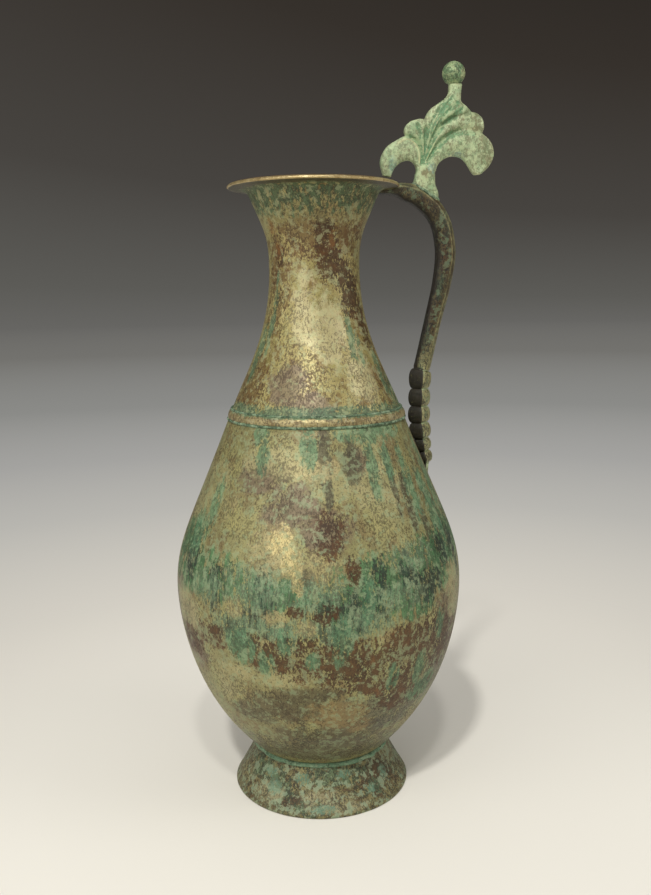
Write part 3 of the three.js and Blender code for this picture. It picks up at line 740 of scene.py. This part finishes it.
# Painted light: a light olive over the beads, for their outer facets lit from the right; the inner facets
# are painted dark again below
stain(coat, "#7d7a52 #a5a070 #c3bd8d", [(62, 240, 30, 60)], grain=6, ragged=3, fine=0.4, edge=0.2,
      cover=0.9)
worn_and_highlit, painted_shade, crust_and_highlight = (
    add(coat.tree, "Attribute", output="Fac", attribute_name=name) for name in corner_shares
)
stain(coat, "#1a120a #302314", ground=0.28, drip=2, ragged=12, fine=0.7, cover=0.7, rise=-0.1)
pitted(coat, "#080704 #16130b", "#8d8a62 #688062", ground=0.33, cover=0.65)
# Painted shade: the side of the handle towards the vessel is darkened where the body keeps the light off
stain(coat, "#080603 #150f08 #30251a", shape=painted_shade, drip=2, ragged=5, fine=0.5, edge=0.25, cover=0.95,
      roughness=0.6, metallic=0.05)
# Worn bright metal on the outer arrises, with a painted highlight where they catch the light from the right
stain(coat, "#6f6a45 #8d865a #a59d70", shape=worn_and_highlit, grain=8, ragged=6, fine=0.4, edge=0.25, cover=0.7,
      roughness=0.38, metallic=0.5)
# Pale green crust in the grooves of the beads, laid on their lit side only, partly a painted highlight on
# the bead tops
stain(coat, "#7f9268 #a3b186 #c3cba0", shape=crust_and_highlight, ragged=5, fine=0.4, edge=0.25, cover=0.85,
      roughness=0.6, metallic=0.1)
weathered(coat, ewer_handle)
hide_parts("handle")

# Thumb-piece: a five-lobed palmette on a stem, cast in one and alike on both faces. Two lobes curl down as
# scrolls, and the middle one carries the ball.
palmette_seat_share = 0.237
palmette_rise = 9.5
palmette_width = 71.2
palmette_height = 58.5
palmette_crown = 7.6
palmette_edge = 2.8
edge_limit_share = 0.7
crown_fullness = 0.75
lobe_overlap = 0.5
stem_depth = 8.4
stem_chamfer = 2
lobe_steps = 8
section_steps = 12
palmette_root = along(handle_line, palmette_seat_share * last_station)[0] + (0, palmette_rise)
inner_groove = [(-0.029, 0.215), (-0.035, 0.352), (-0.08, 0.441), (-0.15, 0.482)]
left_groove = [(-0.02, 0.215), (-0.004, 0.342), (0.004, 0.451), (0.007, 0.557)]
right_groove = [(-0.01, 0.215), (0.027, 0.325), (0.066, 0.465), (0.139, 0.593), (0.265, 0.685)]
outer_groove = [(0.004, 0.212), (0.055, 0.315), (0.117, 0.415), (0.201, 0.497), (0.308, 0.556)]
inner_arch = [
    (-0.063, 0.123), (-0.074, 0.198), (-0.117, 0.25), (-0.184, 0.244),
    (-0.24, 0.203), (-0.274, 0.152), (-0.292, 0.109), (-0.302, 0.075),
]
outer_arch = [
    (0.093, 0.137), (0.114, 0.207), (0.153, 0.255), (0.216, 0.294), (0.274, 0.301), (0.324, 0.287),
    (0.367, 0.25), (0.397, 0.203), (0.42, 0.159), (0.44, 0.126), (0.462, 0.106),
]
# Each lobe: its two edges from the root outward, as shares of the palmette's width and height, and the
# share of the crown at its root and tip
lobes = {
    "inner_scroll": (
        inner_arch,
        [*inner_groove, (-0.254, 0.431), (-0.336, 0.356), (-0.381, 0.222), (-0.355, 0.089)], 0.7, 0.5),
    "inner_lobe": (
        [*inner_groove, (-0.171, 0.537), (-0.153, 0.598), (-0.114, 0.639)],
        [*left_groove, (0.007, 0.626), (-0.013, 0.653), (-0.052, 0.66)], 0.7, 0.5),
    "middle_lobe": (
        [*left_groove, (0.013, 0.667), (0.059, 0.757), (0.131, 0.819), (0.191, 0.872), (0.219, 0.923),
         (0.223, 1.015)],
        [*right_groove, (0.403, 0.733), (0.367, 0.791), (0.315, 0.841), (0.312, 0.899), (0.322, 1.015)],
        0.75, 0.95),
    "outer_lobe": (
        [*right_groove, (0.403, 0.733), (0.476, 0.711), (0.518, 0.663)],
        [*outer_groove, (0.414, 0.566), (0.504, 0.53), (0.529, 0.591)], 0.7, 0.5),
    "outer_scroll": (
        [*outer_groove, (0.414, 0.566), (0.513, 0.516), (0.59, 0.431), (0.616, 0.311), (0.572, 0.191),
         (0.501, 0.113)],
        outer_arch, 0.75, 0.6),
}


def on_palmette(shares):
    """Points given as shares of the palmette's width and height."""
    return palmette_root + np.array(shares) * (palmette_width, palmette_height)


def between(name, left, right, section, *sizes):
    """Sections swept between two edges, each as broad as the edges are apart."""
    count = (len(left) - 1) * lobe_steps
    rings = []
    for step in range(count + 1):
        share = step / count
        start = along(left, share * (len(left) - 1))[0]
        across = along(right, share * (len(right) - 1))[0] - start
        breadth = np.linalg.norm(across)
        middle, side = start + across / 2, across / breadth
        points = section(breadth, share, *sizes)
        rings.append([(middle[0] + a * side[0], b, middle[1] + a * side[1]) for a, b in points])
    return bar(name, rings)


def leaf_section(breadth, share, root_share, tip_share):
    """Section of a lobe: a round crown on both faces, down to a thinner edge. The lobe swells midway."""
    swell = 4 * share * (1 - share) * (1 - (root_share + tip_share) / 2)
    crown = palmette_crown * (root_share + (tip_share - root_share) * share + swell)
    half = breadth / 2 + lobe_overlap
    edge = min(palmette_edge, crown * edge_limit_share) / 2
    a = np.cos(np.linspace(0, pi, section_steps)) * half
    b = edge + (crown / 2 - edge) * (1 - (a / half) ** 2) ** crown_fullness
    return [*zip(a, b), *zip(a[::-1], -b[::-1])]


palmette_parts = [
    between(name, on_palmette(left), on_palmette(right), leaf_section, *crown_shares)
    for name, (left, right, *crown_shares) in lobes.items()
]
stem_start_shares = (0.167, 0.295)
stem_left = [(-0.097, -0.021), (-0.086, 0.051), (-0.076, 0.103), (-0.06, 0.161), (-0.035, 0.232)]
stem_right = [(0.125, -0.096), (0.096, 0.01), (0.093, 0.103), (0.088, 0.161), (0.035, 0.232)]
stem_edges = [
    np.array([along(handle_line, start * last_station)[0], *on_palmette(shares)])
    for start, shares in zip(stem_start_shares, (stem_left, stem_right))
]
palmette_parts.append(between(
    "stem", *stem_edges, lambda breadth, _: eight_sided(breadth, stem_depth, stem_chamfer)))
thumb_piece = palmette_parts[0]
with bpy.context.temp_override(active_object=thumb_piece, selected_editable_objects=palmette_parts):
    bpy.ops.object.join()
thumb_piece.name = "palmette_thumb_piece"

# The lobes are melted into one skin, as in the casting
remesh = thumb_piece.modifiers.new("one_skin", "REMESH")
remesh.mode = "VOXEL"
remesh.voxel_size = 0.4 * MM
soften = thumb_piece.modifiers.new("soften", "SMOOTH")
soften.factor, soften.iterations = 0.5, 4
melted = thumb_piece.evaluated_get(bpy.context.evaluated_depsgraph_get())
skinned = bpy.data.meshes.new_from_object(melted)
thumb_piece.modifiers.clear()
thumb_piece.data = skinned
skinned.shade_smooth()

# Veins: lines chased into both faces after casting, with the grooves between the lobes
trace_steps = 90
vein_depth = 0.45
vein_width = 0.7
groove_depth = 1.0
groove_width = 1.5
ridge_rise = 0.45
ridge_width = 0.7
veins = [
    [(-0.005, 0.24), (0.015, 0.4), (0.035, 0.55), (0.08, 0.68), (0.15, 0.8)],
    [(0.003, 0.24), (0.045, 0.42), (0.1, 0.58), (0.19, 0.72), (0.28, 0.82)],
    [(0, 0.24), (0.03, 0.42), (0.075, 0.6), (0.15, 0.75), (0.24, 0.87)],
    [(0.005, 0.24), (0.06, 0.42), (0.13, 0.56), (0.24, 0.69), (0.33, 0.76)],
    [(-0.02, 0.23), (-0.03, 0.38), (-0.045, 0.5), (-0.07, 0.6)],
    [(0.02, 0.23), (0.1, 0.36), (0.19, 0.46), (0.31, 0.52), (0.42, 0.52)],
]
grooves = [inner_groove, left_groove, right_groove, outer_groove]
ridges = [[(-0.05, 0.215), (-0.058, 0.34), (-0.1, 0.42), (-0.165, 0.455), (-0.235, 0.415)]]


def nearness(points, lines, width):
    """How near each point is to the nearest of some lines: one on a line, falling off over the width."""
    nearest = np.full(len(points), np.inf)
    for shares in lines:
        stations = on_palmette(shares)
        places = np.linspace(0, len(stations) - 1, trace_steps)
        trace = np.array([along(stations, place)[0] for place in places])
        away = np.linalg.norm(points[:, None] - trace, axis=2).min(1)
        nearest = np.minimum(nearest, away)
    return np.exp(-(nearest / width) ** 2)


spots = np.array([vertex.co for vertex in skinned.vertices], np.float32) / MM
plane = spots[:, [0, 2]]
on_ridge = nearness(plane, ridges, ridge_width)
cut = vein_depth * nearness(plane, veins, vein_width) + groove_depth * nearness(plane, grooves, groove_width)
cut -= ridge_rise * on_ridge
spots[:, 1] -= np.sign(spots[:, 1]) * np.minimum(cut, np.abs(spots[:, 1]) / 2)
skinned.vertices.foreach_set("co", (spots * MM).ravel())
for name, values in (("hollow", nearness(plane, grooves + veins, groove_width)), ("ridge", on_ridge)):
    skinned.attributes.new(name, "FLOAT", "POINT").data.foreach_set("value", values.astype(np.float32))
skinned.update()

# Verdigris over bronze: a pale grey-green crust covers the palmette. The hollows keep a fuller green, brown
# metal shows in patches where it was handled, and the crests and the raised line are pale, with painted
# highlights on them.
coat = bare_bronze(
    "verdigrised_cast_bronze_palmette", "#7a8a62 #9aaa80 #b6c097 #cbd3aa", 0.6, 0.15, flat=True, grain=9)
hollows, raised = (
    add(coat.tree, "Attribute", output="Fac", attribute_name=name) for name in ("hollow", "ridge")
)
crests = add(coat.tree, "NewGeometry", output="Pointiness")
crests = add(coat.tree, "MapRange", {"Value": crests, "From Min": 0.51, "From Max": 0.58})
stain(coat, "#55422a #735d3d #897150", [(86, 421, 14, 6), (96, 402, 9, 16), (58, 387, 6, 6),
      (90, 412, 12, 4)], ground=0.27, grain=5, ragged=7, edge=0.2, cover=0.65, roughness=0.52,
      metallic=0.25)
stain(coat, "#2f5a39 #4b7b53 #6d9a6c", shape=hollows, grain=5, ragged=5, fine=0.35, edge=0.25, cover=0.8,
      roughness=0.7, metallic=0.06)
stain(coat, "#4a7a50 #68936a", ground=0.3, grain=6, drip=2, ragged=7, fine=0.4, edge=0.2, cover=0.6)
stain(coat, "#6f9280 #8faa98", [(77, 397, 7, 4), (37, 391, 4, 9), (61, 390, 4, 5)], grain=3, ragged=11,
      fine=0.5, cover=0.7, roughness=0.75, metallic=0.04, rise=0.06)
# Painted highlight: a pale line along the raised line of the inner scroll
stain(coat, "#a9ab7a #d0cfa0", shape=raised, ragged=5, fine=0.5, edge=0.2, cover=0.8)
pitted(coat, "#4a5a38 #665c3a", "#dcdcb0 #bccb9a", ground=0.34, cover=0.55)
# Painted highlight on the crests: pale where the surface is most convex
stain(coat, "#a9ab7a #c8c795 #dbd8ae", shape=crests, grain=3, ragged=8, fine=0.5, edge=0.25, cover=0.6,
      roughness=0.5)
weathered(coat, thumb_piece)
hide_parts("thumb_piece")

# Solder of the stem: a low fillet of soft solder that holds the stem's foot on top of the handle. It was
# smeared on, and is as green as the other solder.
solder_width = 1.0
fillet_radius = 1.1
fillet_sides = 10
fillet_steps = 72
fillet_waver = 0.5
fillet_grain = 3
stem_low, stem_high = (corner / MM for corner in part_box("stem_solder"))
fillet_x = (stem_low.x + stem_high.x) / 2
fillet_half = (stem_high.x - stem_low.x) / 2 - solder_width
fillet_depth = stem_depth / 2 + solder_width / 2
top_stations = 1, 8
top_steps = 60
top_line = []
for place in np.linspace(*top_stations, top_steps):
    (x, z), (run_x, run_z) = along(handle_line, place)
    half = np.interp(place, range(len(bar_widths)), bar_widths) / 2
    top_line.append((x - half * run_z, z + half * run_x))
top_line = np.transpose(top_line)
fillet_rings = []
for angle in full_turn(fillet_steps):
    x = fillet_x + fillet_half * cos(angle)
    y = fillet_depth * sin(angle)
    z = np.interp(x, *top_line) - max(0, abs(y) - handle_depth / 2 + handle_chamfer)
    swell = fillet_radius * (1 + fillet_waver * noise.noise(Vector((x, y, z)) / fillet_grain))
    fillet_rings.append([
        (x + swell * cos(turn) * cos(angle), y + swell * cos(turn) * sin(angle), z + swell * sin(turn))
        for turn in full_turn(fillet_sides)
    ])
stem_fillet = joined("stem_solder_fillet", fillet_rings, closed=True)
stem_fillet.data.materials.append(verdigris)
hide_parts("stem_solder")

# Ball: a finial cast solid in the same bronze, and let a little way into the palmette's tip. It is round,
# but not truly.
ball_low, ball_high = (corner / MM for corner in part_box("ball_finial"))
ball_radius = (ball_high.z - ball_low.z) / 2
ball_middle = (ball_low + ball_high) / 2
ball_waver = 0.16
ball_grain = 4
ball_subdivisions = 5
ball_mesh = bmesh.new()
bmesh.ops.create_icosphere(ball_mesh, subdivisions=ball_subdivisions, radius=ball_radius)
ball_points = []
for vertex in ball_mesh.verts:
    lump = noise.noise(vertex.co / ball_grain) - 0.5
    ball_points.append(ball_middle + vertex.co * (1 + ball_waver * lump / ball_radius))
ball_faces = [[vertex.index for vertex in face.verts] for face in ball_mesh.faces]
ball_mesh.free()
finial_ball = cast("finial_ball", ball_points, ball_faces)

# Verdigris over bronze, darker than on the palmette, with a pale spot where it was touched.
coat = bare_bronze(
    "verdigrised_cast_bronze_ball", "#506a4b #6c865d #849c71 #95a377", 0.5, 0.25, flat=True, grain=6)
stain(coat, "#2c4630 #426243 #5f805a", ground=0.33, ragged=8)
stain(coat, "#a3a878 #c3c392", [(81, 445, 5, 6)], ground=0.22, grain=2.5, ragged=10, cover=0.85,
      roughness=0.5, rise=0.05)
pitted(coat, "#1c281a #323b22", "#c9cd9b #a9b985", ground=0.35, cover=0.65)
weathered(coat, finial_ball)
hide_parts("ball_finial")

# Floor: a wide pale sheet that the ewer stands on. It fades with distance into the grey of the backdrop,
# and keeps the ewer's shadows near by.
floor_radius = 9000
floor_sides = 96
floor_points = [(0, 0, 0)]
floor_points += [(floor_radius * cos(turn), floor_radius * sin(turn), 0) for turn in full_turn(floor_sides)]
floor_faces = [(0, 1 + i, 1 + (i + 1) % floor_sides) for i in range(floor_sides)]
floor_mesh = bpy.data.meshes.new("floor")
floor_mesh.from_pydata((np.array(floor_points) * MM).tolist(), [], floor_faces)
floor = bpy.data.objects.new("floor", floor_mesh)
shown.link(floor)
paper = bpy.data.materials.new("matt_paper_sheet")
sheet = blank(paper)
fade_start = 190
fade_end = 430
paper_spot = add(sheet, "TexCoord", output="Object")
far = add(sheet, "VectorMath", {0: paper_spot}, output="Value", operation="LENGTH")
far_share = add(sheet, "MapRange", {"Value": far, "From Max": floor_radius * MM})
paper_tone = add(sheet, "ValToRGB", {0: far_share}, stops=[
    (0, "#e4dfd3"), (0.039, "#d6d1c6"), (0.089, "#b8b6b0"), (0.139, "#a4a3a0"), (0.233, "#8b8b88"),
    (0.493, "#73726e"), (1, "#676663"),
])
paper_light = add(sheet, "Emission", {"Color": paper_tone})
paper_matt = add(sheet, "BsdfDiffuse", {"Color": linear("#e6e1d5")})
fade = add(sheet, "MapRange", {"Value": far, "From Min": fade_start * MM, "From Max": fade_end * MM},
           interpolation_type="SMOOTHSTEP")


def seen(tree):
    """One for what the camera sees, straight or in gloss or glass, and zero for light on the ewer."""
    rays = add(tree, "LightPath", output=None)
    share = rays["Is Camera Ray"]
    for name in ("Is Glossy Ray", "Is Transmission Ray"):
        share = add(tree, "Math", {0: share, 1: rays[name]}, operation="MAXIMUM")
    return share


seen_fade = add(sheet, "Math", {0: seen(sheet), 1: fade}, operation="MULTIPLY")
paper_surface = add(sheet, "MixShader", {0: seen_fade, 1: paper_matt, 2: paper_light})
add(sheet, "OutputMaterial", {"Surface": paper_surface}, output=None)
floor_mesh.materials.append(paper)

# Backdrop: the world itself, grey at the horizon and darker above, more so on the right, with a soft even
# light of its own.
sky_low = -0.035
sky_high = 0.4
side_shade = 0.8
middle_shade = 0.87
scene.world = bpy.data.worlds.new("studio")
sky = blank(scene.world)
sky_x, _, sky_z = add(sky, "SeparateXYZ", {0: add(sky, "TexCoord", output="Generated")}, output=None)
sky_side = add(sky, "Math", {0: sky_x, 1: side_shade, 2: middle_shade}, operation="MULTIPLY_ADD")
sky_height = add(sky, "MapRange", {"Value": sky_z, "From Min": sky_low, "From Max": sky_high})
sky_share = add(sky, "Math", {0: sky_height, 1: sky_side}, operation="MULTIPLY")
sky_tone = add(sky, "ValToRGB", {0: sky_share}, stops=[
    (0, "#676663"), (0.08, "#5c5b57"), (0.31, "#474440"), (0.7, "#36312c"), (1, "#2b2723"),
])
ambient = add(sky, "Background", {"Color": linear("#e6e6e6"), "Strength": 0.47})
backdrop = add(sky, "Background", {"Color": sky_tone})
sky_light = add(sky, "MixShader", {0: seen(sky), 1: ambient, 2: backdrop})
add(sky, "OutputWorld", {"Surface": sky_light}, output=None)

# Lamps: a large softbox to the left of the camera, two small high lamps in front that throw the shadows,
# and a weak softbox on the right
lit_height = 190
lit_middle = Vector((axis_x, 0, lit_height))
for name, azimuth, elevation, distance, width, height, power in (
    ("softbox_left", -142, 24, 950, 1050, 560, 3.4),
    ("lamp_front_left", -114, 50, 2600, 150, 150, 31),
    ("lamp_front", -99, 54, 2600, 150, 150, 11.5),
    ("softbox_right", -30, 30, 950, 420, 600, 1.9),
):
    a, e = radians(azimuth), radians(elevation)
    toward = Vector((cos(a) * cos(e), sin(a) * cos(e), sin(e)))
    lamp = bpy.data.lights.new(name, "AREA")
    lamp.shape, lamp.size, lamp.size_y, lamp.energy = "RECTANGLE", width * MM, height * MM, power
    stand = bpy.data.objects.new(name, lamp)
    stand.location = (lit_middle + toward * distance) * MM
    stand.rotation_euler = toward.to_track_quat("Z", "Y").to_euler()
    shown.link(stand)

# Camera: a little below the rim, in front of the ewer and to the left, with the photograph's slight roll
camera_place = Vector((-104.95, -560.3, 315.89))
camera_view = Vector((0.1712, 0.971, -0.1666))
camera_roll = -0.0130278
camera_data = bpy.data.cameras.new("camera")
camera_data.lens = 36.86
camera = bpy.data.objects.new("camera", camera_data)
camera.location = camera_place * MM
camera.rotation_mode = "QUATERNION"
camera.rotation_quaternion = camera_view.to_track_quat("-Z", "Y") @ Quaternion((0, 0, 1), camera_roll)
shown.link(camera)
scene.camera = camera
scene.view_settings.view_transform = "Standard"
